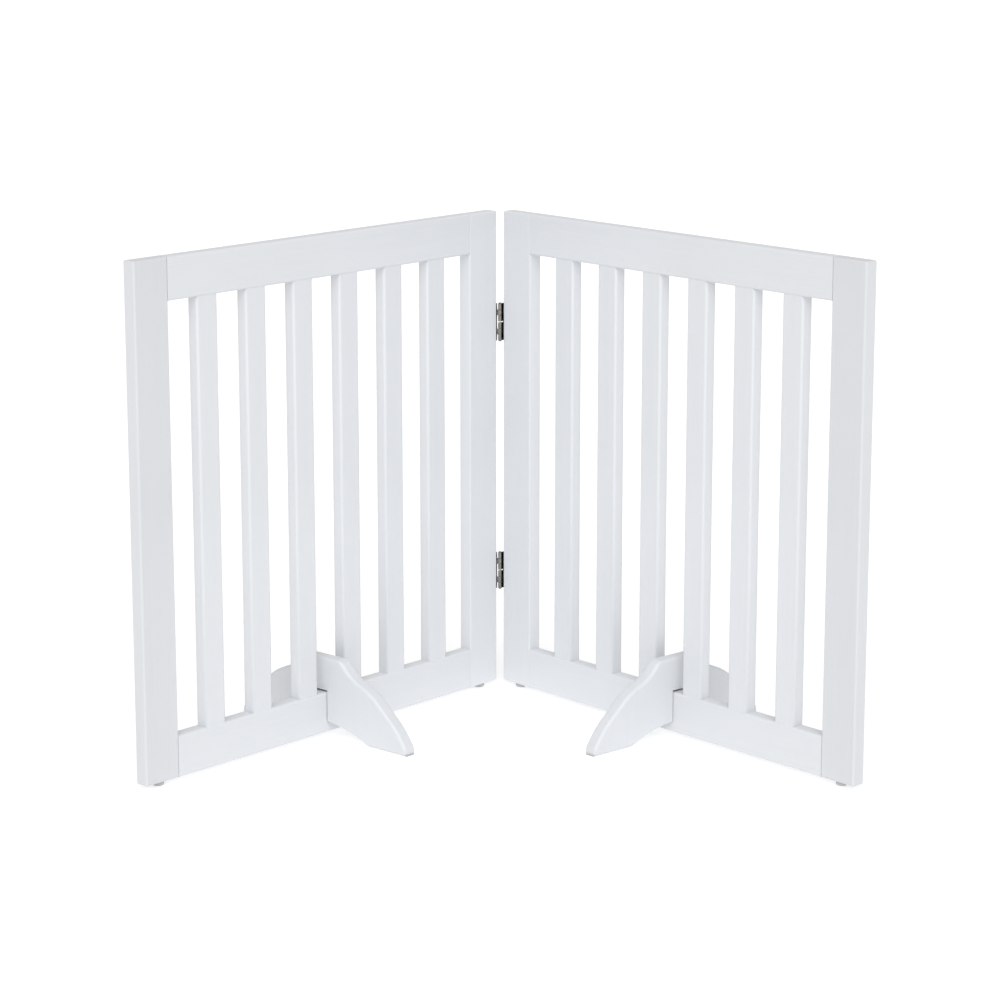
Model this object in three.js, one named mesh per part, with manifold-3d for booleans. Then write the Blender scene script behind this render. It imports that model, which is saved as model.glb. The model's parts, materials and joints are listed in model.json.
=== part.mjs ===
// A free-standing folding pet gate: two slatted wooden panels joined by two double-action hinges,
// each panel steadied by a support foot that straddles its bottom rail.
// Millimetres, +Z up, floor at z = 0. The gate stands open as a V with its mouth towards -Y.

import * as THREE from 'three';
import { mergeVertices } from 'three/addons/utils/BufferGeometryUtils.js';
import Module from 'manifold-3d';

// Panel frame
const PANEL_WIDTH = 600;
const PANEL_HEIGHT = 605;
const BOARD_THICKNESS = 18;
const STILE_WIDTH = 50;
const RAIL_HEIGHT = 50;
const EDGE_RADIUS = 2.5;
const JOINT_EDGE_RADIUS = 1.5;
const OPEN_ANGLE = THREE.MathUtils.degToRad(83.5);

// Slats and their stub tenons
const SLAT_COUNT = 6;
const SLAT_WIDTH = 32;
const SLAT_THICKNESS = 16;
const TENON_WIDTH = 24;
const TENON_THICKNESS = 8;
const TENON_LENGTH = 10;

// Dowels in the corner joints
const DOWEL_RADIUS = 4;
const DOWEL_LENGTH = 30;
const DOWEL_SPREAD = 24;

// Glides under the stiles
const GLIDE_RADIUS = 7;
const GLIDE_FLAT_RADIUS = 4;
const GLIDE_HEIGHT = 5;
const GLIDE_STEM_RADIUS = 1.6;
const GLIDE_STEM_LENGTH = 14;

// Support feet
const FOOT_THICKNESS = 18;
const FOOT_HALF_LENGTH = 139;
const FOOT_HEIGHT = 98;
const FOOT_CROWN_HALF = 32;
const FOOT_DIP = { reach: 49, height: 80 };
const FOOT_KNEE = { reach: 82, height: 66.5 };
const FOOT_INSTEP = { reach: 123, height: 31 };
const FOOT_TOE_HEIGHT = 9;
const FOOT_ARCH_HALF = 80;
const FOOT_ARCH_HEIGHT = 18;
const FOOT_EDGE_RADIUS = 2;
const NOTCH_SIDE_CLEARANCE = 0.4;
const NOTCH_TOP_CLEARANCE = 2;

// Hinges: the front pin is the origin of both panels' groups, the rear pin lies straight behind it
const HINGE_CENTRES = [150, 470];
const HINGE_HEIGHT = 47;
const HINGE_SPLIT = 1.5;
const KNUCKLE_GAP = 0.3;
const EDGE_TO_PIN = 3.4;
const PIN_PROUD = 2;
const PIN_RADIUS = 1.05;
const BORE_RADIUS = 1.15;
const KNUCKLE_RADIUS = 2.3;
const PIN_HEAD_RADIUS = 1.9;
const PIN_HEAD_HEIGHT = 0.8;
const LEAF_THICKNESS = 1.2;
const LEAF_MARGIN = 1;
const LINK_THICKNESS = 1;

// Hinge screws
const SCREW_SPREAD = 28;
const SCREW_HEAD_RADIUS = 2.9;
const SCREW_HEAD_DEPTH = 1.4;
const SCREW_RADIUS = 1.4;
const SCREW_LENGTH = 15;

// Gap left between pieces that touch or seat in one another
const SEAM = 0.3;

// Derived sizes
const OPENING_WIDTH = PANEL_WIDTH - 2 * STILE_WIDTH;
const SLAT_GAP = (OPENING_WIDTH - SLAT_COUNT * SLAT_WIDTH) / (SLAT_COUNT + 1);
const SLAT_PITCH = SLAT_WIDTH + SLAT_GAP;
const PANEL_MID_Y = PIN_PROUD + BOARD_THICKNESS / 2;
const REAR_PIN_Y = BOARD_THICKNESS + 2 * PIN_PROUD;
const HALF_FOLD = (Math.PI - OPEN_ANGLE) / 2;

const wood = { color: 0xf1f2f3, roughness: 0.45, metalness: 0 };
const dowelWood = { color: 0xd9b98c, roughness: 0.7, metalness: 0 };
const steel = { color: 0xb9b6b1, roughness: 0.3, metalness: 1 };
const plastic = { color: 0x9a9b9c, roughness: 0.5, metalness: 0 };

const wasm = await Module();
wasm.setup();

// ---- Solids -------------------------------------------------------------------------------

function toSolid(geometry) {
  const bare = geometry.clone();
  bare.deleteAttribute('normal');
  bare.deleteAttribute('uv');
  const merged = mergeVertices(bare, 1e-4);
  const vertProperties = new Float32Array(merged.attributes.position.array);
  const triVerts = new Uint32Array(merged.index.array);
  return new wasm.Manifold(new wasm.Mesh({ numProp: 3, vertProperties, triVerts }));
}

function toGeometry(solid) {
  const result = solid.getMesh();
  const geometry = new THREE.BufferGeometry();
  geometry.setAttribute('position', new THREE.BufferAttribute(result.vertProperties, 3));
  geometry.setIndex(new THREE.BufferAttribute(result.triVerts, 1));
  geometry.computeVertexNormals();
  return geometry;
}

function cut(geometry, cutters) {
  const solid = cutters.reduce((rest, cutter) => rest.subtract(toSolid(cutter)), toSolid(geometry));
  return toGeometry(solid);
}

function join(geometries) {
  const solids = geometries.map(toSolid);
  return toGeometry(solids.reduce((whole, piece) => whole.add(piece)));
}

function addMesh(parent, name, geometry, look, position = [0, 0, 0]) {
  const mesh = new THREE.Mesh(geometry, new THREE.MeshStandardMaterial(look));
  mesh.name = name;
  mesh.position.set(...position);
  parent.add(mesh);
}

// A rectangle centred on the origin whose corners are rounded, by its own radius at each end of x
function roundedRectangle(width, depth, lowRadius, highRadius) {
  const x = width / 2;
  const y = depth / 2;
  const shape = new THREE.Shape();
  shape.absarc(x - highRadius, y - highRadius, highRadius, 0, Math.PI / 2);
  shape.absarc(-x + lowRadius, y - lowRadius, lowRadius, Math.PI / 2, Math.PI);
  shape.absarc(-x + lowRadius, -y + lowRadius, lowRadius, Math.PI, 1.5 * Math.PI);
  shape.absarc(x - highRadius, -y + highRadius, highRadius, 1.5 * Math.PI, 2 * Math.PI);
  return shape;
}

function extrude(shape, depth, curveSegments) {
  return new THREE.ExtrudeGeometry(shape, { depth, curveSegments, bevelEnabled: false });
}

function block(width, depth, height, centre) {
  return new THREE.BoxGeometry(width, depth, height).translate(...centre);
}

// A round bar along x, centred on the given point
function barAlongX(radius, length, centre, segments = 12) {
  const bar = new THREE.CylinderGeometry(radius, radius, length, segments);
  return bar.rotateZ(Math.PI / 2).translate(...centre);
}

// ---- Screws, glides and dowels ------------------------------------------------------------

// A countersunk screw along +Y with its tip at the bottom and its flat head at y = 0
function screwProfile(clearance) {
  const head = SCREW_HEAD_RADIUS + clearance;
  const shank = SCREW_RADIUS + clearance;
  return [
    new THREE.Vector2(0, -SCREW_LENGTH - clearance),
    new THREE.Vector2(shank, -SCREW_LENGTH + 3 * SCREW_RADIUS),
    new THREE.Vector2(shank, -SCREW_HEAD_DEPTH),
    new THREE.Vector2(head, 0),
    new THREE.Vector2(head, clearance),
    new THREE.Vector2(0, clearance),
  ].filter((point, index, all) => index === 0 || !point.equals(all[index - 1]));
}

// The screw, or the hole it needs, with its head facing towards or away from +X
function screwGeometry(headSide, clearance = 0) {
  const screw = new THREE.LatheGeometry(screwProfile(clearance), 12);
  return screw.rotateZ(-headSide * Math.PI / 2);
}

// A moulded glide with its nail-like stem, standing on the floor
function glideGeometry() {
  const top = GLIDE_HEIGHT - SEAM;
  const bulge = GLIDE_RADIUS - GLIDE_FLAT_RADIUS;
  const profile = [new THREE.Vector2(0, 0)];
  for (let step = 0; step <= 3; step += 1) {
    const angle = step * Math.PI / 6;
    const radius = GLIDE_FLAT_RADIUS + bulge * Math.sin(angle);
    profile.push(new THREE.Vector2(radius, bulge * (1 - Math.cos(angle))));
  }
  profile.push(new THREE.Vector2(GLIDE_RADIUS, top));
  profile.push(new THREE.Vector2(GLIDE_STEM_RADIUS, top));
  profile.push(new THREE.Vector2(GLIDE_STEM_RADIUS, top + GLIDE_STEM_LENGTH));
  profile.push(new THREE.Vector2(0, top + GLIDE_STEM_LENGTH + GLIDE_STEM_RADIUS));
  return new THREE.LatheGeometry(profile, 20).rotateX(Math.PI / 2);
}

function dowelGeometry() {
  const half = DOWEL_LENGTH / 2;
  const profile = [
    new THREE.Vector2(0, -half),
    new THREE.Vector2(DOWEL_RADIUS - 1, -half),
    new THREE.Vector2(DOWEL_RADIUS, -half + 1),
    new THREE.Vector2(DOWEL_RADIUS, half - 1),
    new THREE.Vector2(DOWEL_RADIUS - 1, half),
    new THREE.Vector2(0, half),
  ];
  return new THREE.LatheGeometry(profile, 12).rotateZ(Math.PI / 2);
}

// ---- Boards -------------------------------------------------------------------------------

const railCentres = [GLIDE_HEIGHT + RAIL_HEIGHT / 2, GLIDE_HEIGHT + PANEL_HEIGHT - RAIL_HEIGHT / 2];
const dowelHeights = railCentres.flatMap((z) => [z - DOWEL_SPREAD / 2, z + DOWEL_SPREAD / 2]);
const dowelHole = (x, z) => barAlongX(DOWEL_RADIUS + SEAM, DOWEL_LENGTH + 2 * SEAM, [x, 0, z]);

// A stile standing on its end; jointSide is the side of x that meets the rails
function stileGeometry(jointSide, hinged) {
  const radii = jointSide > 0 ? [EDGE_RADIUS, JOINT_EDGE_RADIUS] : [JOINT_EDGE_RADIUS, EDGE_RADIUS];
  const outline = roundedRectangle(STILE_WIDTH, BOARD_THICKNESS, ...radii);
  const board = extrude(outline, PANEL_HEIGHT, 3).translate(0, 0, GLIDE_HEIGHT);
  const jointX = jointSide * STILE_WIDTH / 2;
  const cutters = dowelHeights.map((z) => dowelHole(jointX, z));
  const stemRadius = GLIDE_STEM_RADIUS + SEAM;
  const stemHole = new THREE.CylinderGeometry(stemRadius, stemRadius, 2 * GLIDE_STEM_LENGTH + 6, 12);
  cutters.push(stemHole.rotateX(Math.PI / 2).translate(0, 0, GLIDE_HEIGHT));
  if (hinged) {
    const headX = -jointX - jointSide * (SEAM + LEAF_THICKNESS);
    for (const z of HINGE_CENTRES.flatMap((centre) => screwHeights(centre))) {
      cutters.push(screwGeometry(-jointSide, SEAM).translate(headX, 0, z));
    }
  }
  return cut(board, cutters);
}

// A rail lying along x with a mortise for each slat; slatSide is the side of z that the slats enter
function railGeometry(slatSide) {
  const length = OPENING_WIDTH - 2 * SEAM;
  const outline = roundedRectangle(RAIL_HEIGHT, BOARD_THICKNESS, EDGE_RADIUS, EDGE_RADIUS);
  const board = extrude(outline, length, 3).rotateY(Math.PI / 2).translate(-length / 2, 0, 0);
  const cutters = [];
  for (let index = 0; index < SLAT_COUNT; index += 1) {
    const x = slatOffset(index);
    const size = [TENON_WIDTH + 2 * SEAM, TENON_THICKNESS + 2 * SEAM, 2 * (TENON_LENGTH + SEAM)];
    cutters.push(block(...size, [x, 0, slatSide * RAIL_HEIGHT / 2]));
  }
  for (const end of [-1, 1]) {
    for (const z of [-DOWEL_SPREAD / 2, DOWEL_SPREAD / 2]) {
      cutters.push(dowelHole(end * OPENING_WIDTH / 2, z));
    }
  }
  return cut(board, cutters);
}

// A slat's distance from the middle of the opening
function slatOffset(index) {
  return (index - (SLAT_COUNT - 1) / 2) * SLAT_PITCH;
}

function slatGeometry() {
  const length = PANEL_HEIGHT - 2 * RAIL_HEIGHT - 2 * SEAM;
  const outline = roundedRectangle(SLAT_WIDTH, SLAT_THICKNESS, EDGE_RADIUS, EDGE_RADIUS);
  const board = extrude(outline, length, 3).translate(0, 0, -length / 2);
  const tenons = block(TENON_WIDTH, TENON_THICKNESS, length + 2 * TENON_LENGTH, [0, 0, 0]);
  return join([board, tenons]);
}

// ---- Support foot -------------------------------------------------------------------------

// A point a given distance along the straight line from one point to another
function along(from, to, distance) {
  return to.clone().sub(from).setLength(distance).add(from);
}

// Draws lines through the points, softening each inner one over its given length
function softLine(shape, points, softening) {
  for (let index = 1; index < points.length - 1; index += 1) {
    const corner = points[index];
    const entry = along(corner, points[index - 1], softening[index - 1]);
    const leave = along(corner, points[index + 1], softening[index - 1]);
    shape.lineTo(entry.x, entry.y);
    shape.quadraticCurveTo(corner.x, corner.y, leave.x, leave.y);
  }
}

// The foot's side view: reach across the panel is x, height above the floor is y
function footOutline() {
  const notchHalf = BOARD_THICKNESS / 2 + NOTCH_SIDE_CLEARANCE;
  const notchTop = GLIDE_HEIGHT + RAIL_HEIGHT + NOTCH_TOP_CLEARANCE;
  const archRadius = (FOOT_ARCH_HALF ** 2 + FOOT_ARCH_HEIGHT ** 2) / (2 * FOOT_ARCH_HEIGHT);
  const archCentre = FOOT_ARCH_HEIGHT - archRadius;
  const springAngle = Math.asin(FOOT_ARCH_HALF / archRadius);
  const notchAngle = Math.asin(notchHalf / archRadius);
  const upper = [
    new THREE.Vector2(FOOT_HALF_LENGTH, 0),
    new THREE.Vector2(FOOT_HALF_LENGTH, FOOT_TOE_HEIGHT),
    new THREE.Vector2(FOOT_INSTEP.reach, FOOT_INSTEP.height),
    new THREE.Vector2(FOOT_KNEE.reach, FOOT_KNEE.height),
    new THREE.Vector2(FOOT_DIP.reach, FOOT_DIP.height),
    new THREE.Vector2(FOOT_CROWN_HALF, FOOT_HEIGHT),
  ];
  const mirrored = upper.map((point) => new THREE.Vector2(-point.x, point.y)).reverse();
  const softening = [4, 12, 14, 12, 6];
  const shape = new THREE.Shape();
  shape.moveTo(FOOT_HALF_LENGTH, 0);
  softLine(shape, [...upper, ...mirrored], [...softening, ...softening.toReversed()]);
  shape.lineTo(-FOOT_HALF_LENGTH, 0);
  const top = Math.PI / 2;
  shape.absarc(0, archCentre, archRadius, top + springAngle, top + notchAngle, true);
  shape.lineTo(-notchHalf, notchTop);
  shape.lineTo(notchHalf, notchTop);
  shape.absarc(0, archCentre, archRadius, top - notchAngle, top - springAngle, true);
  return shape;
}

// The foot board across the panel, its thickness centred on x = 0
function footGeometry() {
  const foot = new THREE.ExtrudeGeometry(footOutline(), {
    depth: FOOT_THICKNESS - 2 * FOOT_EDGE_RADIUS,
    curveSegments: 5,
    bevelEnabled: true,
    bevelThickness: FOOT_EDGE_RADIUS,
    bevelSize: FOOT_EDGE_RADIUS,
    bevelOffset: -FOOT_EDGE_RADIUS,
    bevelSegments: 2,
  });
  foot.translate(0, 0, FOOT_EDGE_RADIUS - FOOT_THICKNESS / 2);
  const acrossPanel = new THREE.Vector3(0, 1, 0);
  const upright = new THREE.Vector3(0, 0, 1);
  const alongPanel = new THREE.Vector3(1, 0, 0);
  return foot.applyMatrix4(new THREE.Matrix4().makeBasis(acrossPanel, upright, alongPanel));
}

// ---- Hinges -------------------------------------------------------------------------------

function screwHeights(centre) {
  return [centre - SCREW_SPREAD / 2, centre + SCREW_SPREAD / 2];
}

// The six knuckles of a barrel from the top down, three in each half, as their bottom and height
function knuckleSlots() {
  const half = (HINGE_HEIGHT - HINGE_SPLIT) / 2;
  const height = (half - 2 * KNUCKLE_GAP) / 3;
  const slots = [];
  for (const top of [HINGE_HEIGHT / 2, -HINGE_SPLIT / 2]) {
    for (let index = 0; index < 3; index += 1) {
      slots.push({ bottom: top - height - index * (height + KNUCKLE_GAP), height });
    }
  }
  return slots;
}

const leafKnuckles = [1, 4];
const linkKnuckles = [0, 2, 3, 5];

function knuckle(slot, y) {
  const ring = new THREE.Shape();
  ring.absarc(0, y, KNUCKLE_RADIUS, 0, 2 * Math.PI);
  ring.holes.push(new THREE.Path().absarc(0, y, BORE_RADIUS, 0, 2 * Math.PI, true));
  return extrude(ring, slot.height, 10).translate(0, 0, slot.bottom);
}

// The leaf of the left panel: a plate on the panel's edge that curls round the front pin
function leafGeometry() {
  const outerX = -EDGE_TO_PIN + SEAM;
  const innerX = outerX + LEAF_THICKNESS;
  const frontY = PIN_PROUD + LEAF_MARGIN;
  const width = BOARD_THICKNESS - 2 * LEAF_MARGIN;
  const plate = block(LEAF_THICKNESS, width, HINGE_HEIGHT, [(outerX + innerX) / 2, frontY + width / 2, 0]);
  const bridge = new THREE.Shape();
  bridge.moveTo(outerX, frontY + 1);
  bridge.lineTo(outerX, frontY - 0.5);
  bridge.lineTo(-KNUCKLE_RADIUS + 0.1, 0);
  bridge.lineTo(-BORE_RADIUS - 0.2, 0);
  bridge.lineTo(-BORE_RADIUS - 0.2, frontY - 1.5);
  bridge.lineTo(innerX, frontY);
  bridge.lineTo(innerX, frontY + 1);
  const pieces = [plate];
  for (const index of leafKnuckles) {
    const slot = knuckleSlots()[index];
    pieces.push(knuckle(slot, 0));
    pieces.push(extrude(bridge, slot.height, 1).translate(0, 0, slot.bottom));
  }
  const holes = screwHeights(0).map((z) => screwGeometry(1, SEAM).translate(innerX, PANEL_MID_Y, z));
  return cut(join(pieces), holes);
}

// The plate that links the front pin to the rear pin
function linkGeometry() {
  const clear = KNUCKLE_RADIUS + 0.5;
  const width = REAR_PIN_Y - 2 * clear;
  const reach = REAR_PIN_Y - 2 * (BORE_RADIUS + 0.3);
  const pieces = [block(LINK_THICKNESS, width, HINGE_HEIGHT, [0, REAR_PIN_Y / 2, 0])];
  for (const index of linkKnuckles) {
    const slot = knuckleSlots()[index];
    const middle = slot.bottom + slot.height / 2;
    pieces.push(knuckle(slot, 0));
    pieces.push(knuckle(slot, REAR_PIN_Y));
    pieces.push(block(LINK_THICKNESS, reach, slot.height, [0, REAR_PIN_Y / 2, middle]));
  }
  return join(pieces);
}

function pinGeometry() {
  const half = HINGE_HEIGHT / 2 + KNUCKLE_GAP;
  const profile = [
    new THREE.Vector2(0, -half - PIN_HEAD_HEIGHT),
    new THREE.Vector2(PIN_HEAD_RADIUS * 0.7, -half - PIN_HEAD_HEIGHT),
    new THREE.Vector2(PIN_HEAD_RADIUS, -half),
    new THREE.Vector2(PIN_RADIUS, -half),
    new THREE.Vector2(PIN_RADIUS, half),
    new THREE.Vector2(PIN_HEAD_RADIUS, half),
    new THREE.Vector2(PIN_HEAD_RADIUS * 0.7, half + PIN_HEAD_HEIGHT),
    new THREE.Vector2(0, half + PIN_HEAD_HEIGHT),
  ];
  return new THREE.LatheGeometry(profile, 20).rotateX(Math.PI / 2);
}

// ---- Assembly -----------------------------------------------------------------------------

// One panel: side is -1 for the left one, which lies along -X of its group, and +1 for the right
function addPanel(group, label, side) {
  const at = (distance, z) => [side * (EDGE_TO_PIN + distance), PANEL_MID_Y, z];
  const innerX = STILE_WIDTH / 2;
  const outerX = PANEL_WIDTH - STILE_WIDTH / 2;
  const middle = PANEL_WIDTH / 2;
  const [lowRail, highRail] = railCentres;
  addMesh(group, `${label}_inner_stile`, stileGeometry(side, true), wood, at(innerX, 0));
  addMesh(group, `${label}_outer_stile`, stileGeometry(-side, false), wood, at(outerX, 0));
  addMesh(group, `${label}_bottom_rail`, railGeometry(1), wood, at(middle, lowRail));
  addMesh(group, `${label}_top_rail`, railGeometry(-1), wood, at(middle, highRail));
  for (let index = 0; index < SLAT_COUNT; index += 1) {
    const place = at(middle + slatOffset(index), (lowRail + highRail) / 2);
    addMesh(group, `${label}_slat_${index + 1}`, slatGeometry(), wood, place);
  }
  for (const [end, distance] of [['inner', STILE_WIDTH], ['outer', PANEL_WIDTH - STILE_WIDTH]]) {
    dowelHeights.forEach((z, index) => {
      addMesh(group, `${label}_${end}_dowel_${index + 1}`, dowelGeometry(), dowelWood, at(distance, z));
    });
  }
  addMesh(group, `${label}_inner_glide`, glideGeometry(), plastic, at(innerX, 0));
  addMesh(group, `${label}_outer_glide`, glideGeometry(), plastic, at(outerX, 0));
  addMesh(group, `${label}_support_foot`, footGeometry(), wood, at(middle, 0));
}

// A leaf, its two screws and its pin. The right side is the left one turned half round.
function addLeaf(group, label, hinge, centre, side) {
  const half = new THREE.Group();
  half.position.set(0, side < 0 ? 0 : REAR_PIN_Y, centre);
  half.rotation.z = side < 0 ? 0 : Math.PI;
  group.add(half);
  const headX = -EDGE_TO_PIN + SEAM + LEAF_THICKNESS;
  const pin = side < 0 ? 'front_pin' : 'rear_pin';
  addMesh(half, `${hinge}_hinge_${label}_leaf`, leafGeometry(), steel);
  addMesh(half, `${hinge}_hinge_${pin}`, pinGeometry(), steel);
  screwHeights(0).forEach((z, index) => {
    const name = `${hinge}_hinge_${label}_screw_${index + 1}`;
    addMesh(half, name, screwGeometry(1), steel, [headX, PANEL_MID_Y, z]);
  });
}

const gate = new THREE.Group();
const leftGroup = new THREE.Group();
const rightGroup = new THREE.Group();
leftGroup.rotation.z = HALF_FOLD;
rightGroup.rotation.z = -HALF_FOLD;
gate.add(leftGroup, rightGroup);

addPanel(leftGroup, 'left', -1);
addPanel(rightGroup, 'right', 1);
[['lower', HINGE_CENTRES[0]], ['upper', HINGE_CENTRES[1]]].forEach(([hinge, centre]) => {
  addLeaf(leftGroup, 'left', hinge, centre, -1);
  addLeaf(rightGroup, 'right', hinge, centre, 1);
  addMesh(rightGroup, `${hinge}_hinge_link`, linkGeometry(), steel, [0, 0, centre]);
});

// The origin is the bottom centre of the standing gate
const bounds = new THREE.Box3().setFromObject(gate, true);
const middleOfGate = bounds.getCenter(new THREE.Vector3());
gate.position.set(-middleOfGate.x, -middleOfGate.y, -bounds.min.z);

export default gate;
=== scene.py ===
"""The pet gate's looks: painted boards, nickel hinges, plastic glides, studio floor, light and camera."""

import json
import math

import bmesh
import bpy
from mathutils import Matrix, Vector


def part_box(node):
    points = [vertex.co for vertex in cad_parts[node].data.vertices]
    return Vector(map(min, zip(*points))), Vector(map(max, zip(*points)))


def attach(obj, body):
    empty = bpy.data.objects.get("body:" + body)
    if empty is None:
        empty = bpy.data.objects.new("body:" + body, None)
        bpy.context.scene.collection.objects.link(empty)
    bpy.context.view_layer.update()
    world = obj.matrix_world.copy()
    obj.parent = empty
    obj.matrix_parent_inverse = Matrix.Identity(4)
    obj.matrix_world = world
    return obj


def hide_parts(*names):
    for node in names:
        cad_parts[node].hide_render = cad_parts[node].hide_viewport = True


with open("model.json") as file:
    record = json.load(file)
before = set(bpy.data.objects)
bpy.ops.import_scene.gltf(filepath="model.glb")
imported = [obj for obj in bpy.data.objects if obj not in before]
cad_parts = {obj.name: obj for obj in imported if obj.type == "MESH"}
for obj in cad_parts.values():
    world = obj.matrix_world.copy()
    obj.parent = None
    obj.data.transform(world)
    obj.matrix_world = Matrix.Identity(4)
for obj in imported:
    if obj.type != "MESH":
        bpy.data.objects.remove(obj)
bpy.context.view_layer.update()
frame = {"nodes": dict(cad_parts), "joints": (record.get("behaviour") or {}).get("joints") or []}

SIDES = ("left", "right")
SLATS = range(1, 7)
HINGES = ("lower", "upper")
UP = Vector((0, 0, 1))
MM = 0.001
SAME_PLACE = 0.01 * MM
SHARP_ANGLE = math.radians(40)

# Roundings of the painted boards
EDGE_ROUND = 2.5 * MM
JOINT_ROUND = 1.6 * MM
SLAT_ROUND = 3.2 * MM
END_ROUND = 0.25 * MM
FOOT_ROUND = 4.2 * MM
NOTCH_ROUND = 0.8 * MM
ARCH_ROUND = 1.5 * MM

# How far painted joints are closed: rails up to the stiles, slats into the rails' rounded edges
RAIL_CLOSING = 0.25 * MM
SLAT_SEATING = 1.6 * MM

# The support foot's side view: reach across the panel and height above the floor.
# Each inner corner from the toe up to the crown is softened over its own length.
# Edges between the pads and lower than FOOT_ARCH_ZONE are the arch's.
FOOT_CROWN_HALF = 32 * MM
FOOT_DIP = (49 * MM, 80 * MM)
FOOT_KNEE = (82 * MM, 66.5 * MM)
FOOT_INSTEP = (123 * MM, 31 * MM)
FOOT_TOE_HEIGHT = 9 * MM
FOOT_SOFTENING = (4 * MM, 12 * MM, 14 * MM, 12 * MM, 6 * MM)
FOOT_ARCH_HALF = 80 * MM
FOOT_ARCH_HEIGHT = 18 * MM
FOOT_ARCH_ZONE = 30 * MM
NOTCH_SIDE_CLEARANCE = 0.4 * MM
NOTCH_TOP_CLEARANCE = 2 * MM

# Glides: a domed plastic foot on a stem. CAD's is a turning with CAD_GLIDE_SIDES flat sides. The
# shares are of the glide's radius or of the height that it fills under the stile.
CAD_GLIDE_SIDES = 20
GLIDE_SEAM = 0.1 * MM
GLIDE_STEM_RADIUS = 1.6 * MM
GLIDE_FLAT_SHARE = 0.5
GLIDE_DOME_FOOT_SHARE = 0.52
GLIDE_DOME_TOP_SHARE = 0.62
GLIDE_RIM_START_SHARE = 0.9
GLIDE_RIM_SHARE = 0.96
GLIDE_ROUND = 0.25 * MM

# Hinges: sheet steel rolled round the pins, six knuckles to a barrel, split between the third and fourth
KNUCKLES_IN_HALF = 3
KNUCKLE_GAP = 0.3 * MM
LEAF_KNUCKLES = (1, 4)
LINK_KNUCKLES = (0, 2, 3, 5)
HINGE_SPLIT = 1.5 * MM
LEAF_SHEET = 1.15 * MM
LINK_SHEET = 1.05 * MM
ROLL_RADIUS = 1.74 * MM
LEAF_FACE = -2.5 * MM
LEAF_FRONT = 3 * MM
PLATE_CORNER = 1.5 * MM
SHEET_ROUND = 0.15 * MM
PIN_RADIUS = 1.05 * MM
PIN_HEAD_RADIUS = 1.9 * MM
PIN_HEAD_HEIGHT = 0.8 * MM
PIN_ROUND = 0.1 * MM
SCREW_SPREAD = 28 * MM
SCREW_HOLE_RADIUS = 2.9 * MM
SCREW_HEAD_RADIUS = 2.75 * MM
SCREW_HEAD_DEPTH = 1.4 * MM
SCREW_HEAD_RIM = 0.12 * MM
SCREW_ROUND = 0.06 * MM
SCREW_SHANK_RADIUS = 1.35 * MM
SCREW_LENGTH = 14.8 * MM
SCREW_TIP = 1.2 * MM
SCREW_TAPER = 4 * MM
RECESS_HALF_WIDTH = 0.4 * MM
RECESS_REACH = 1.5 * MM
RECESS_DEPTH = 0.9 * MM
RECESS_FLOOR_SHARE = 0.7


# ---- Measuring the CAD frame -------------------------------------------------------------


def middle(node):
    low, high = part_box(node)
    return (low + high) / 2


def turned(x_axis, z_axis=UP):
    """The rotation whose local X and Z lie along the given directions."""
    x = x_axis.normalized()
    z = z_axis.normalized()
    return Matrix((x, z.cross(x), z)).transposed()


def local_box(node, rotation, origin):
    """Lowest and highest corner of a CAD node, measured along the rotation's axes from origin."""
    back = rotation.inverted()
    points = [back @ (v.co - origin) for v in frame["nodes"][node].data.vertices]
    low = Vector([min(p[i] for p in points) for i in range(3)])
    high = Vector([max(p[i] for p in points) for i in range(3)])
    return low, high


def outward(side):
    """The level direction from a panel's hinged edge to its free end."""
    way = middle(f"{side}_outer_stile") - middle(f"{side}_inner_stile")
    way.z = 0
    return way.normalized()


def joint_at(name):
    """A point on the joint's axis."""
    place = next(j["pos_m"] for j in frame["joints"] if j["name"] == name)
    return Vector(place)


# ---- Materials ---------------------------------------------------------------------------

PAINT_COLOUR = (0.725, 0.742, 0.768)

# Painted shade: the slit between foot and rail and the hinges' crevices are painted dark where surfaces are
# this close.
# Near the floor the paint stays as it is, up to the lowest height below, and fades to the painted gap shade
# above that.
GAP_SHADE_DISTANCE = 4 * MM
GAP_SHADE_LOWEST = 20 * MM
GAP_SHADE_FADE = 4 * MM
CREVICE_SHADE_DISTANCE = 5 * MM


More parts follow.
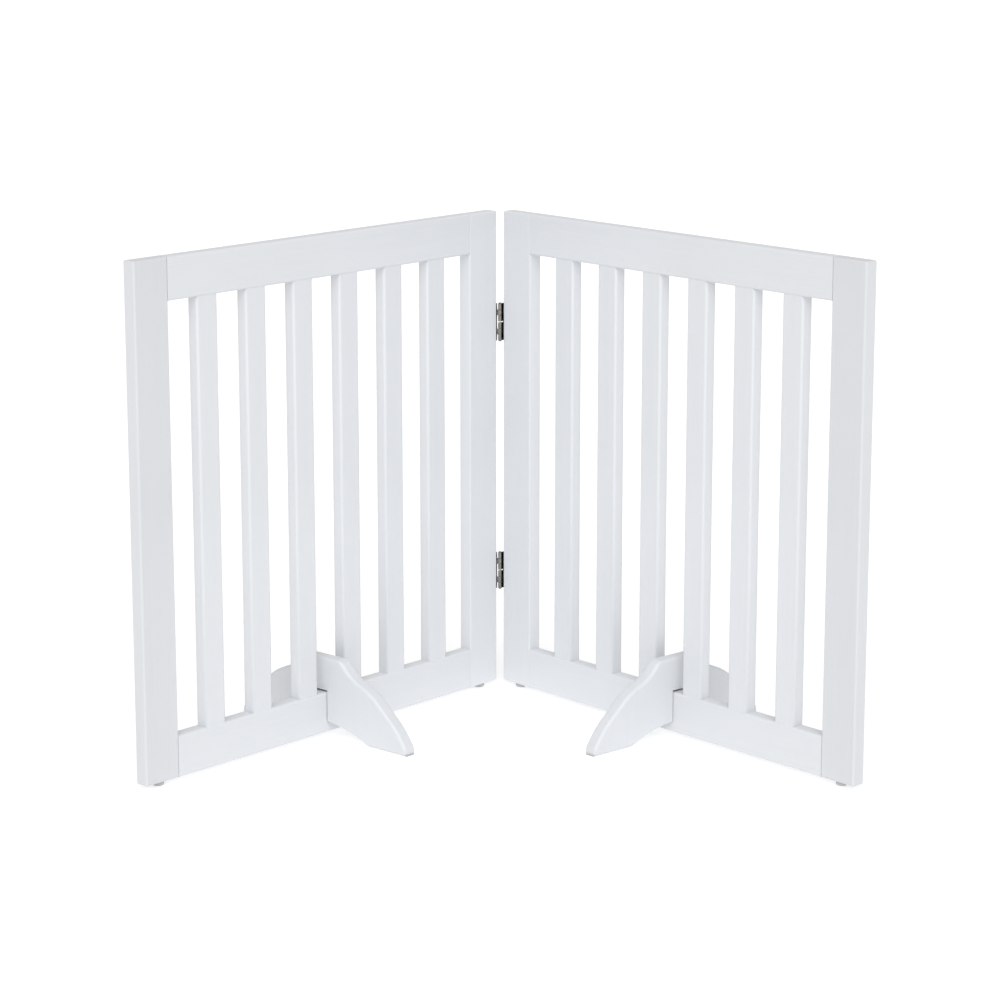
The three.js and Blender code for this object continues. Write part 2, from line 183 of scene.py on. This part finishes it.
class Surface:
    """A Principled material with small helpers for its nodes."""

    def __init__(self, name, roughness, metallic=0.0):
        self.material = bpy.data.materials.new(name)
        self.material.use_nodes = True
        self.tree = self.material.node_tree
        self.shader = self.tree.nodes["Principled BSDF"]
        self.shader.inputs["Roughness"].default_value = roughness
        self.shader.inputs["Metallic"].default_value = metallic
        self.place = self.tree.nodes.new("ShaderNodeTexCoord").outputs["Object"]

    def node(self, kind, **settings):
        made = self.tree.nodes.new(kind)
        for key, value in settings.items():
            setattr(made, key, value)
        return made

    def link(self, output, socket):
        self.tree.links.new(output, socket)

    def noise(self, scale, stretch=(1, 1, 1), detail=3.0, roughness=0.5):
        """Noise with that many cells per metre, stretched by its own factor along each axis."""
        mapping = self.node("ShaderNodeMapping")
        mapping.inputs["Scale"].default_value = [scale * s for s in stretch]
        self.link(self.place, mapping.inputs["Vector"])
        texture = self.node("ShaderNodeTexNoise")
        texture.inputs["Scale"].default_value = 1.0
        texture.inputs["Detail"].default_value = detail
        texture.inputs["Roughness"].default_value = roughness
        self.link(mapping.outputs["Vector"], texture.inputs["Vector"])
        return texture.outputs["Fac"]

    def ramp(self, factor, stops):
        ramp = self.node("ShaderNodeValToRGB")
        elements = ramp.color_ramp.elements
        while len(elements) < len(stops):
            elements.new(0.5)
        for element, (position, colour) in zip(elements, stops):
            element.position = position
            element.color = (*colour, 1)
        self.link(factor, ramp.inputs["Fac"])
        return ramp.outputs["Color"]

    def mix(self, factor, first, second, blend="MIX"):
        """Blends two colours. The factor and the colours may be outputs of other nodes."""
        mix = self.node("ShaderNodeMix", data_type="RGBA", blend_type=blend)
        for socket, value in ((mix.inputs[0], factor), (mix.inputs[6], first), (mix.inputs[7], second)):
            if hasattr(value, "is_output"):
                self.link(value, socket)
            elif isinstance(value, tuple):
                socket.default_value = (*value, 1)
            else:
                socket.default_value = value
        return mix.outputs[2]

    def span(self, factor, low, high):
        """The factor's usual range, 0.3 to 0.7, spread from low to high."""
        spread = self.node("ShaderNodeMapRange")
        spread.inputs["From Min"].default_value = 0.3
        spread.inputs["From Max"].default_value = 0.7
        spread.inputs["To Min"].default_value = low
        spread.inputs["To Max"].default_value = high
        self.link(factor, spread.inputs["Value"])
        return spread.outputs["Result"]

    def painted_closeness_shade(self, distance, dark, open_air):
        """A painted shade: a grey that falls to the dark shade where other surfaces stand closer than the
        distance.
        Each stop is the share of open air and its shade."""
        nearness = self.node("ShaderNodeAmbientOcclusion", samples=8)
        nearness.inputs["Distance"].default_value = distance
        stops = [(share, (shade,) * 3) for share, shade in (dark, open_air)]
        return self.ramp(nearness.outputs["AO"], stops)

    def colour(self, output):
        self.link(output, self.shader.inputs["Base Color"])

    def gloss(self, output):
        self.link(output, self.shader.inputs["Roughness"])

    def bumps(self, *layers):
        """Each layer is a height and its depth in metres."""
        normal = None
        for height, depth in layers:
            bump = self.node("ShaderNodeBump")
            bump.inputs["Distance"].default_value = depth
            self.link(height, bump.inputs["Height"])
            if normal:
                self.link(normal, bump.inputs["Normal"])
            normal = bump.outputs["Normal"]
        self.link(normal, self.shader.inputs["Normal"])


def paint_surface(name, tone, painted_gap_shade=False):
    """Satin white paint over wood: grain showing faintly along local Z, roller stipple, soft mottling.
    Narrow gaps to other pieces get painted shade if the flag says so."""
    surface = Surface(name, roughness=0.4)
    light = tuple(tone * c for c in PAINT_COLOUR)
    shade = tuple(0.965 * c for c in light)
    mottling = surface.noise(9, (1, 1, 0.5), detail=4)
    grain = surface.noise(520, (1, 1, 0.02), detail=4, roughness=0.6)
    stipple = surface.noise(1300, detail=2)
    ripple = surface.noise(160, (1, 1, 0.35), detail=2)
    base = surface.mix(surface.span(mottling, 0, 1), shade, light)
    streaks = surface.ramp(grain, [(0.32, (0.972,) * 3), (0.6, (1.0,) * 3)])
    painted = surface.mix(0.7, base, streaks, blend="MULTIPLY")
    # Painted shade: the paint is darkened where other pieces stand close, as in the slit over the rail, above
    # the lowest height
    if painted_gap_shade:
        gap_shade = surface.painted_closeness_shade(GAP_SHADE_DISTANCE, (0.1, 0.12), (0.42, 1.0))
        height = surface.node("ShaderNodeSeparateXYZ")
        surface.link(surface.place, height.inputs["Vector"])
        above = surface.node("ShaderNodeMapRange")
        above.inputs["From Min"].default_value = GAP_SHADE_LOWEST
        above.inputs["From Max"].default_value = GAP_SHADE_LOWEST + GAP_SHADE_FADE
        surface.link(height.outputs["Z"], above.inputs["Value"])
        gap_shaded = surface.mix(1.0, painted, gap_shade, blend="MULTIPLY")
        painted = surface.mix(above.outputs["Result"], painted, gap_shaded)
    surface.colour(painted)
    surface.gloss(surface.span(ripple, 0.34, 0.48))
    surface.bumps((grain, 0.06 * MM), (stipple, 0.04 * MM), (ripple, 0.1 * MM))
    return surface.material


def beech_surface():
    """Bare beech for the dowels inside the joints: grain along local X with small dark flecks."""
    surface = Surface("beech_dowel", roughness=0.65)
    grain = surface.noise(900, (0.03, 1, 1), detail=5, roughness=0.65)
    flecks = surface.noise(1800, (0.15, 1, 1), detail=1)
    base = surface.ramp(grain, [(0.3, (0.42, 0.27, 0.14)), (0.7, (0.66, 0.47, 0.28))])
    surface.colour(surface.mix(surface.span(flecks, 0, 0.35), base, (0.35, 0.2, 0.1)))
    surface.gloss(surface.span(grain, 0.55, 0.75))
    surface.bumps((grain, 0.08 * MM), (flecks, 0.03 * MM))
    return surface.material


def nickel_surface():
    """Nickel-plated steel: fine polishing lines across the barrel, cloudy patches, small scratches, and
    painted shade in the crevices between its parts.
    """
    surface = Surface("nickel_plate", roughness=0.28, metallic=1.0)
    clouds = surface.noise(180, detail=4)
    lines = surface.noise(2600, (1, 1, 0.06), detail=3)
    pits = surface.noise(3800, detail=1)
    plate = surface.ramp(clouds, [(0.3, (0.23, 0.212, 0.198)), (0.7, (0.36, 0.342, 0.325))])
    # Painted shade: the plate is darkened where other parts stand close, in the hinge's crevices
    crevice_shade = surface.painted_closeness_shade(CREVICE_SHADE_DISTANCE, (0.25, 0.02), (0.75, 1.0))
    surface.colour(surface.mix(1.0, plate, crevice_shade, blend="MULTIPLY"))
    surface.gloss(surface.span(clouds, 0.22, 0.38))
    surface.bumps((lines, 0.012 * MM), (pits, 0.008 * MM))
    return surface.material


def plastic_surface():
    """Grey moulded plastic, gritty and a little scuffed."""
    surface = Surface("glide_plastic", roughness=0.5)
    grit = surface.noise(2200, detail=2)
    scuffs = surface.noise(350, (1, 1, 2), detail=4)
    surface.colour(surface.ramp(scuffs, [(0.3, (0.38, 0.38, 0.385)), (0.7, (0.50, 0.50, 0.505))]))
    surface.gloss(surface.span(scuffs, 0.4, 0.62))
    surface.bumps((grit, 0.03 * MM), (scuffs, 0.05 * MM))
    return surface.material


def floor_surface():
    """A pale matt floor that glows a little, so that it meets the white background without an edge."""
    surface = Surface("studio_floor", roughness=0.7)
    cloud = surface.noise(0.8, detail=2)
    surface.colour(surface.ramp(cloud, [(0.3, (0.53, 0.53, 0.535)), (0.7, (0.56, 0.56, 0.56))]))
    surface.shader.inputs["Emission Color"].default_value = (1, 1, 1, 1)
    surface.shader.inputs["Emission Strength"].default_value = FLOOR_GLOW
    return surface.material


# One white for all boards, toned a little board by board. The outer stiles are painted darker than the inner
# ones as painted shade, and the inner stiles lighter as painted light, so those in the fold look as lit as
# the rest
STILE_LIT_AND_SHADED_PAINTS = {
    "inner": paint_surface("paint_inner_stile_lit", 1.0),
    "outer": paint_surface("paint_outer_stile_shaded", 0.91),
}
RAIL_PAINT = paint_surface("paint_rail", 0.98)
SLAT_PAINT = paint_surface("paint_slat", 0.985)
FOOT_PAINT = paint_surface("paint_foot", 0.95, painted_gap_shade=True)
BEECH = beech_surface()
NICKEL = nickel_surface()
PLASTIC = plastic_surface()


# ---- Building pieces ---------------------------------------------------------------------


def finish_piece(name, mesh_data, rotation, origin, material, body, nodes):
    """Makes the object from a bmesh, puts it in place and ties it to its body, slot and CAD nodes."""
    mesh = bpy.data.meshes.new(name)
    bmesh.ops.recalc_face_normals(mesh_data, faces=mesh_data.faces)
    for face in mesh_data.faces:
        face.smooth = True
    mesh_data.to_mesh(mesh)
    mesh_data.free()
    mesh.materials.append(material)
    piece = bpy.data.objects.new(name, mesh)
    bpy.context.scene.collection.objects.link(piece)
    piece.matrix_world = Matrix.Translation(origin) @ rotation.to_4x4()
    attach(piece, body)
    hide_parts(*nodes)
    return piece


def round_edges(piece, width, segments, by_weight=True):
    """Bevels the weighted edges, or else every edge that turns sharply enough."""
    bevel = piece.modifiers.new("round_edges", "BEVEL")
    bevel.width = width
    bevel.segments = segments
    bevel.limit_method = "WEIGHT" if by_weight else "ANGLE"
    bevel.angle_limit = SHARP_ANGLE
    bevel.use_clamp_overlap = False
    flats = piece.modifiers.new("keep_flats", "WEIGHTED_NORMAL")
    flats.keep_sharp = True
    flats.weight = 100


def rounded_board(name, low, high, rounding, rotation, origin, material, body, nodes):
    """A board that fills the box. rounding(axis, signs) gives each edge's radius: axis is the one it
    lies along, and signs say which side of the box it is on along each axis."""
    data = bmesh.new()
    bmesh.ops.create_cube(data, size=1)
    size = high - low
    centre = (high + low) / 2
    weights = data.edges.layers.float.new("bevel_weight_edge")
    for edge in data.edges:
        way = edge.verts[1].co - edge.verts[0].co
        axis = max(range(3), key=lambda i: abs(way[i]))
        mid = (edge.verts[0].co + edge.verts[1].co) / 2
        signs = [0 if abs(c) < 0.1 else math.copysign(1, c) for c in mid]
        edge[weights] = rounding(axis, signs) / EDGE_ROUND
    for vert in data.verts:
        vert.co = Vector([c * s for c, s in zip(vert.co, size)]) + centre
    piece = finish_piece(name, data, rotation, origin, material, body, nodes)
    round_edges(piece, EDGE_ROUND, 4)
    return piece


def stile_rounding(joint_sign):
    """Full rounding all round, less on the long edges and ends that meet the rails."""

    def radius(axis, signs):
        if axis == 0:
            return EDGE_ROUND
        if axis == 2:
            return JOINT_ROUND if signs[0] == joint_sign else EDGE_ROUND
        return END_ROUND if signs[0] == joint_sign else EDGE_ROUND

    return radius


def rail_rounding(axis, signs):
    """Full rounding along the rail, hardly any where its ends meet the stiles."""
    return EDGE_ROUND if axis == 2 else END_ROUND


def slat_rounding(axis, signs):
    """Rounding along the slat only: its ends are inside the rails."""
    return SLAT_ROUND if axis == 2 else 0


def build_panel(side):
    """Two stiles, two rails and six slats, from their CAD boxes."""
    body = f"{side}_panel"
    way = outward(side)
    upright = turned(way)
    lying = turned(UP, way)
    for end, joint_sign in (("inner", 1), ("outer", -1)):
        node = f"{side}_{end}_stile"
        paint = STILE_LIT_AND_SHADED_PAINTS[end]
        origin = middle(node)
        low, high = local_box(node, upright, origin)
        rounding = stile_rounding(joint_sign)
        rounded_board(f"{node}_board", low, high, rounding, upright, origin, paint, body, [node])
    for node in (f"{side}_bottom_rail", f"{side}_top_rail"):
        origin = middle(node)
        low, high = local_box(node, lying, origin)
        low.z -= RAIL_CLOSING
        high.z += RAIL_CLOSING
        rounded_board(f"{node}_board", low, high, rail_rounding, lying, origin, RAIL_PAINT, body, [node])
    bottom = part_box(f"{side}_bottom_rail")[1].z
    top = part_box(f"{side}_top_rail")[0].z
    for index in SLATS:
        node = f"{side}_slat_{index}"
        origin = middle(node)
        low, high = local_box(node, upright, origin)
        low.z = bottom - origin.z - SLAT_SEATING
        high.z = top - origin.z + SLAT_SEATING
        rounded_board(f"{node}_board", low, high, slat_rounding, upright, origin, SLAT_PAINT, body, [node])


# ---- Support feet ------------------------------------------------------------------------


def softened(points, softening, steps=8):
    """The line through the points, each inner one rounded over its own length."""
    line = [points[0]]
    for before, corner, after, length in zip(points, points[1:], points[2:], softening):
        entry = corner + (before - corner).normalized() * length
        leave = corner + (after - corner).normalized() * length
        for step in range(steps + 1):
            t = step / steps
            line.append(entry * (1 - t) ** 2 + corner * 2 * t * (1 - t) + leave * t**2)
    line.append(points[-1])
    return line


def foot_outline(half_length, height, notch_half, notch_top):
    """The foot's side view, counter-clockwise from the front toe: reach is x, height is y."""
    radius = (FOOT_ARCH_HALF**2 + FOOT_ARCH_HEIGHT**2) / (2 * FOOT_ARCH_HEIGHT)
    spring = math.asin(FOOT_ARCH_HALF / radius)
    inner = math.asin(notch_half / radius)
    upper = [
        Vector((half_length, 0)),
        Vector((half_length, FOOT_TOE_HEIGHT)),
        Vector(FOOT_INSTEP),
        Vector(FOOT_KNEE),
        Vector(FOOT_DIP),
        Vector((FOOT_CROWN_HALF, height)),
    ]
    mirrored = [Vector((-p.x, p.y)) for p in reversed(upper)]
    outline = softened(upper + mirrored, FOOT_SOFTENING + FOOT_SOFTENING[::-1])

    def arch(start, stop, steps=14):
        angles = [start + (stop - start) * step / steps for step in range(steps + 1)]
        rise = FOOT_ARCH_HEIGHT - radius
        return [Vector((radius * math.sin(a), rise + radius * math.cos(a))) for a in angles]

    outline += arch(-spring, -inner)
    outline += [Vector((-notch_half, notch_top)), Vector((notch_half, notch_top))]
    outline += arch(inner, spring)
    return outline


def build_foot(side):
    """The foot board, its side view drawn in the panel's cross direction and notched over the rail."""
    node = f"{side}_support_foot"
    rotation = turned(outward(side))
    origin = middle(node)
    origin.z = 0
    low, high = local_box(node, rotation, origin)
    stile_low, stile_high = local_box(f"{side}_inner_stile", rotation, origin)
    rail_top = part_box(f"{side}_bottom_rail")[1].z
    notch_half = (stile_high.y - stile_low.y) / 2 + NOTCH_SIDE_CLEARANCE
    notch_top = rail_top + NOTCH_TOP_CLEARANCE
    outline = foot_outline(high.y, high.z, notch_half, notch_top)
    data = bmesh.new()
    rings = [[data.verts.new((x, p.x, p.y)) for p in outline] for x in (low.x, high.x)]
    weights = data.edges.layers.float.new("bevel_weight_edge")
    for ring in rings:
        face = data.faces.new(ring)
        for edge in face.edges:
            ends = [v.co for v in edge.verts]
            in_notch = all(abs(c.y) < notch_half + SAME_PLACE and c.z < notch_top + SAME_PLACE for c in ends)
            on_arch = all(abs(c.y) < FOOT_ARCH_HALF + SAME_PLACE and c.z < FOOT_ARCH_ZONE for c in ends)
            radius = NOTCH_ROUND if in_notch else ARCH_ROUND if on_arch else FOOT_ROUND
            edge[weights] = radius / FOOT_ROUND
    count = len(outline)
    for index in range(count):
        after = (index + 1) % count
        data.faces.new((rings[0][index], rings[0][after], rings[1][after], rings[1][index]))
    name = f"{node}_board"
    body = f"{side}_foot"
    piece = finish_piece(name, data, rotation, origin, FOOT_PAINT, body, [node])
    round_edges(piece, FOOT_ROUND, 4)


# ---- Glides ------------------------------------------------------------------------------


def lathe(data, profile, segments=32):
    """Adds the closed solid that the profile of (radius, height) sweeps about local Z."""
    rings = []
    for radius, height in profile:
        if radius < SAME_PLACE:
            rings.append([data.verts.new((0, 0, height))])
            continue
        angles = [2 * math.pi * i / segments for i in range(segments)]
        rings.append([data.verts.new((radius * math.cos(a), radius * math.sin(a), height)) for a in angles])
    for lower, upper in zip(rings, rings[1:]):
        for i in range(segments):
            j = (i + 1) % segments
            corners = [lower[i % len(lower)], lower[j % len(lower)]]
            corners += [upper[j % len(upper)], upper[i % len(upper)]]
            unique = list(dict.fromkeys(corners))
            data.faces.new(unique)


def build_glide(side, end, steps=8):
    """The glide under a stile: flat underneath, domed, with a rim at the top and a stem in the wood."""
    node = f"{side}_{end}_glide"
    low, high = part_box(node)
    origin = middle(node)
    origin.z = 0
    radius = (high.x - low.x) / 2 / math.cos(math.pi / CAD_GLIDE_SIDES)
    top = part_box(f"{side}_{end}_stile")[0].z - GLIDE_SEAM
    profile = [(0, 0), (GLIDE_FLAT_SHARE * radius, 0)]
    for step in range(1, steps + 1):
        angle = step / steps * math.pi / 2
        reach = GLIDE_DOME_FOOT_SHARE + (1 - GLIDE_DOME_FOOT_SHARE) * math.sin(angle)
        profile.append((radius * reach, GLIDE_DOME_TOP_SHARE * top * (1 - math.cos(angle))))
    profile += [(radius, GLIDE_RIM_START_SHARE * top), (GLIDE_RIM_SHARE * radius, top)]
    profile += [(GLIDE_STEM_RADIUS, top), (GLIDE_STEM_RADIUS, high.z), (0, high.z)]
    data = bmesh.new()
    lathe(data, profile, 48)
    rotation = turned(outward(side))
    body = f"{side}_panel"
    piece = finish_piece(f"{node}_dome", data, rotation, origin, PLASTIC, body, [node])
    round_edges(piece, GLIDE_ROUND, 2, by_weight=False)


# ---- Hinges ------------------------------------------------------------------------------


def knuckle_spans(height):
    """The six knuckles from the top down, each as its lowest and highest point."""
    half = (height - HINGE_SPLIT) / 2
    length = (half - (KNUCKLES_IN_HALF - 1) * KNUCKLE_GAP) / KNUCKLES_IN_HALF
    spans = []
    for top in (height / 2, -HINGE_SPLIT / 2):
        for index in range(KNUCKLES_IN_HALF):
            high = top - index * (length + KNUCKLE_GAP)
            spans.append((high - length, high))
    return spans


def roll(start, stop, steps=20):
    """Points of a sheet rolled round the pin, between two angles in degrees."""
    angles = [math.radians(start + (stop - start) * step / steps) for step in range(steps + 1)]
    return [(ROLL_RADIUS * math.cos(a), ROLL_RADIUS * math.sin(a)) for a in angles]


# From a plate's near edge the sheet bends towards a pin and rolls round it, as seen from above
LEAF_ROLL = [(-2.47 * MM, 2.6 * MM), (-2.32 * MM, 1.95 * MM), (-2.08 * MM, 1.25 * MM), (-1.85 * MM, 0.6 * MM)]
LEAF_ROLL += roll(180, 465)
LINK_ROLL = [(-0.25 * MM, 2.75 * MM), (-0.95 * MM, 2.1 * MM), (-1.48 * MM, 1.2 * MM), (-1.7 * MM, 0.5 * MM)]
LINK_ROLL += roll(180, 400)


class Sheet:
    """A sheet drawn by its middle surface, in a mesh whose points are shared by place."""

    def __init__(self):
        self.data = bmesh.new()
        self.points = {}

    def point(self, x, y, z):
        key = tuple(round(c / MM, 4) for c in (x, y, z))
        if key not in self.points:
            self.points[key] = self.data.verts.new((x, y, z))
        return self.points[key]

    def face(self, corners):
        self.data.faces.new([self.point(*c) for c in corners])

    def rolled(self, edge, path, spans):
        """Knuckles: for each span of heights, a strip from the plate's edge along the path."""
        line = [edge, *path]
        for low, high in spans:
            for before, after in zip(line, line[1:]):
                self.face([(*before, low), (*after, low), (*after, high), (*before, high)])


def plate_with_holes(sheet, x, near, far, height, breaks, steps=12):
    """The plate from y = near to far with two screw holes, its near edge broken at the given heights.
    It is four faces, one above and one below each hole's middle, with half the hole in each."""
    middle_y = (near + far) / 2
    half = height / 2
    for sign in (1, -1):
        centre = sign * SCREW_SPREAD / 2
        for outer in (True, False):
            end = sign * half if outer else 0.0
            away = math.copysign(1, end - centre)
            bounds = (min(end, centre) + SAME_PLACE, max(end, centre) - SAME_PLACE)
            between = sorted(b for b in breaks if bounds[0] < b < bounds[1])
            if away > 0:
                between.reverse()
            arc = []
            for step in range(steps + 1):
                angle = math.pi * step / steps
                y = middle_y - SCREW_HOLE_RADIUS * math.cos(angle)
                z = centre + away * SCREW_HOLE_RADIUS * math.sin(angle)
                arc.append((x, y, z))
            corners = [(x, near, end)] + [(x, near, b) for b in between] + [(x, near, centre)]
            corners += arc + [(x, far, centre), (x, far, end)]
            sheet.face(corners)


def plate_plain(sheet, x, near, far, height, breaks):
    """The plate from y = near to far, with both edges broken at the given heights and nothing at the
    split in the middle."""
    half = height / 2
    inside = sorted(b for b in breaks if abs(b) < half - SAME_PLACE)
    levels = [-half, *inside, half]
    for low, high in zip(levels, levels[1:]):
        if low < 0 < high:
            continue
        sheet.face([(x, near, low), (x, far, low), (x, far, high), (x, near, high)])


def finish_sheet(sheet, thickness, name, rotation, origin, body, node):
    """Makes the piece and thickens it equally to both sides of the sheet's middle surface."""
    piece = finish_piece(name, sheet.data, rotation, origin, NICKEL, body, [node])
    solid = piece.modifiers.new("sheet_thickness", "SOLIDIFY")
    solid.thickness = thickness
    solid.offset = 0
    round_edges(piece, SHEET_ROUND, 2, by_weight=False)
    return piece


def build_leaf(side, hinge, pin_place):
    """The leaf on a panel's edge, its screws and its pin. Local X points to the other panel, and local Y
    from the pin to the leaf's far edge."""
    node = f"{hinge}_hinge_{side}_leaf"
    low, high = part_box(node)
    height = high.z - low.z
    rotation = turned(-outward(side))
    origin = Vector((pin_place.x, pin_place.y, (low.z + high.z) / 2))
    far = local_box(node, rotation, origin)[1].y
    spans = [knuckle_spans(height)[index] for index in LEAF_KNUCKLES]
    sheet = Sheet()
    plate_with_holes(sheet, LEAF_FACE, LEAF_FRONT, far, height, [z for span in spans for z in span])
    corners = [sheet.point(LEAF_FACE, far, z) for z in (-height / 2, height / 2)]
    sheet.rolled((LEAF_FACE, LEAF_FRONT), LEAF_ROLL, spans)
    bmesh.ops.bevel(sheet.data, geom=corners, offset=PLATE_CORNER, segments=5, affect="VERTICES")
    finish_sheet(sheet, LEAF_SHEET, f"{node}_rolled", rotation, origin, f"{side}_panel", node)
    for index, sign in enumerate((-1, 1), start=1):
        head = Vector((LEAF_FACE + LEAF_SHEET / 2, (LEAF_FRONT + far) / 2, sign * SCREW_SPREAD / 2))
        build_screw(f"{hinge}_hinge_{side}_screw_{index}", rotation, origin + rotation @ head, side)
    pin = "front_pin" if side == "left" else "rear_pin"
    build_pin(f"{hinge}_hinge_{pin}", rotation, origin, f"{side}_panel")


def build_link(hinge, pin_place):
    """The plate between the two pins, rolled round both. Local Y points from the front pin to the rear
    one."""
    node = f"{hinge}_hinge_link"
    low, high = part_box(node)
    height = high.z - low.z
    rotation = turned(outward("right"))
    origin = Vector((pin_place.x, pin_place.y, (low.z + high.z) / 2))
    spans = [knuckle_spans(height)[index] for index in LINK_KNUCKLES]
    breaks = [z for span in spans for z in span]
    apart = (joint_at("rear_fold") - joint_at("front_fold")).length
    near = LEAF_FRONT
    far = apart - near
    sheet = Sheet()
    plate_plain(sheet, 0.0, near, far, height, breaks)
    sheet.rolled((0.0, near), LINK_ROLL, spans)
    sheet.rolled((0.0, far), [(-x, apart - y) for x, y in LINK_ROLL], spans)
    finish_sheet(sheet, LINK_SHEET, f"{node}_rolled", rotation, origin, "hinge_links", node)


def build_pin(node, rotation, origin, body, steps=6):
    """One pin through each half of the barrel, with a domed head at its outer end."""
    low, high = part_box(node)
    half = (high.z - low.z) / 2
    start = HINGE_SPLIT / 2
    dome = [
        (PIN_HEAD_RADIUS * math.cos(a), half - PIN_HEAD_HEIGHT * (1 - math.sin(a)))
        for a in (math.pi / 2 * step / steps for step in range(steps))
    ]
    upper = [(0, start), (PIN_RADIUS, start), (PIN_RADIUS, half - PIN_HEAD_HEIGHT), *dome, (0, half)]
    data = bmesh.new()
    lathe(data, upper)
    lathe(data, [(r, -z) for r, z in reversed(upper)])
    piece = finish_piece(f"{node}_domed", data, rotation, origin, NICKEL, body, [node])
    round_edges(piece, PIN_ROUND, 2, by_weight=False)


def build_screw(node, leaf_rotation, place, side):
    """A countersunk screw with a cross recess. Local Z points out of the wood."""
    rotation = turned(UP, leaf_rotation.col[0])
    profile = [
        (0, -SCREW_LENGTH),
        (SCREW_SHANK_RADIUS / 2, -SCREW_LENGTH + SCREW_TIP),
        (SCREW_SHANK_RADIUS, -SCREW_LENGTH + SCREW_TAPER),
        (SCREW_SHANK_RADIUS, -SCREW_HEAD_DEPTH),
        (SCREW_HEAD_RADIUS, -SCREW_HEAD_RIM),
        (SCREW_HEAD_RADIUS - SCREW_HEAD_RIM, 0),
    ]
    data = bmesh.new()
    lathe(data, profile)
    rim = [e for e in data.edges if e.is_boundary]
    arm, reach = RECESS_HALF_WIDTH, RECESS_REACH
    quarter = [Vector((arm, arm)), Vector((arm, reach)), Vector((-arm, reach))]
    cross = []
    for turn in range(4):
        spin = Matrix.Rotation(math.pi / 2 * turn, 2)
        cross += [spin @ corner for corner in quarter]
    top = [data.verts.new((c.x, c.y, 0)) for c in cross]
    inward = RECESS_FLOOR_SHARE
    floor = [data.verts.new((inward * c.x, inward * c.y, -RECESS_DEPTH)) for c in cross]
    count = len(cross)
    for index in range(count):
        after = (index + 1) % count
        data.faces.new((top[index], top[after], floor[after], floor[index]))
    data.faces.new(floor)
    opening = [data.edges.get((top[i], top[(i + 1) % count])) for i in range(count)]
    bmesh.ops.triangle_fill(data, use_beauty=True, edges=rim + opening)
    body = f"{side}_panel"
    piece = finish_piece(f"{node}_crosshead", data, rotation, place, NICKEL, body, [node])
    round_edges(piece, SCREW_ROUND, 1, by_weight=False)


# ---- Floor, light and camera -------------------------------------------------------------

CAMERA_DISTANCE = 3.5785
CAMERA_HEIGHT = 1.086
CAMERA_PITCH = math.radians(12.55)
CAMERA_LENS = 110.3
CAMERA_SENSOR = 36
CAMERA_CLIP_END = 200
FLOOR_HALF = 60
FLOOR_GLOW = 0.57

SKY_STRENGTH = 0.62
SKY_SEEN = 1.02
FRONT_STRENGTH = 1.6
FRONT_ELEVATION = math.radians(46)
FRONT_SPREAD = math.radians(55)


def build_camera():
    """A long lens above the gate's height, straight in front of the hinges and pitched down."""
    data = bpy.data.cameras.new("camera")
    data.lens = CAMERA_LENS
    data.sensor_width = CAMERA_SENSOR
    data.clip_end = CAMERA_CLIP_END
    camera = bpy.data.objects.new("camera", data)
    bpy.context.scene.collection.objects.link(camera)
    camera.location = (0, -CAMERA_DISTANCE, CAMERA_HEIGHT)
    camera.rotation_euler = (math.pi / 2 - CAMERA_PITCH, 0, 0)
    bpy.context.scene.camera = camera


def build_floor():
    data = bmesh.new()
    bmesh.ops.create_grid(data, x_segments=1, y_segments=1, size=FLOOR_HALF)
    mesh = bpy.data.meshes.new("studio_floor")
    data.to_mesh(mesh)
    data.free()
    mesh.materials.append(floor_surface())
    floor = bpy.data.objects.new("studio_floor", mesh)
    bpy.context.scene.collection.objects.link(floor)


def build_light():
    """A white sky that looks brighter than it lights, and a broad sun from the viewer's side."""
    world = bpy.data.worlds.new("studio")
    bpy.context.scene.world = world
    world.use_nodes = True
    tree = world.node_tree
    background = tree.nodes["Background"]
    background.inputs["Color"].default_value = (1, 1, 1, 1)
    seen = tree.nodes.new("ShaderNodeLightPath").outputs["Is Camera Ray"]
    brightness = tree.nodes.new("ShaderNodeMapRange")
    brightness.inputs["To Min"].default_value = SKY_STRENGTH
    brightness.inputs["To Max"].default_value = SKY_SEEN
    tree.links.new(seen, brightness.inputs["Value"])
    tree.links.new(brightness.outputs["Result"], background.inputs["Strength"])
    data = bpy.data.lights.new("front_light", "SUN")
    data.energy = FRONT_STRENGTH
    data.angle = FRONT_SPREAD
    light = bpy.data.objects.new("front_light", data)
    bpy.context.scene.collection.objects.link(light)
    light.rotation_euler = (math.pi / 2 - FRONT_ELEVATION, 0, 0)
    view = bpy.context.scene.view_settings
    view.view_transform = "Standard"
    view.look = "None"


def show_dowels_as_beech():
    """The dowels stay as CAD made them, inside the joints."""
    for name, piece in frame["nodes"].items():
        if "dowel" in name:
            piece.data.materials.clear()
            piece.data.materials.append(BEECH)


build_camera()
build_floor()
build_light()
for gate_side in SIDES:
    build_panel(gate_side)
    build_foot(gate_side)
    for stile_end in ("inner", "outer"):
        build_glide(gate_side, stile_end)
for hinge_name in HINGES:
    build_leaf("left", hinge_name, joint_at("front_fold"))
    build_leaf("right", hinge_name, joint_at("rear_fold"))
    build_link(hinge_name, joint_at("front_fold"))
show_dowels_as_beech()
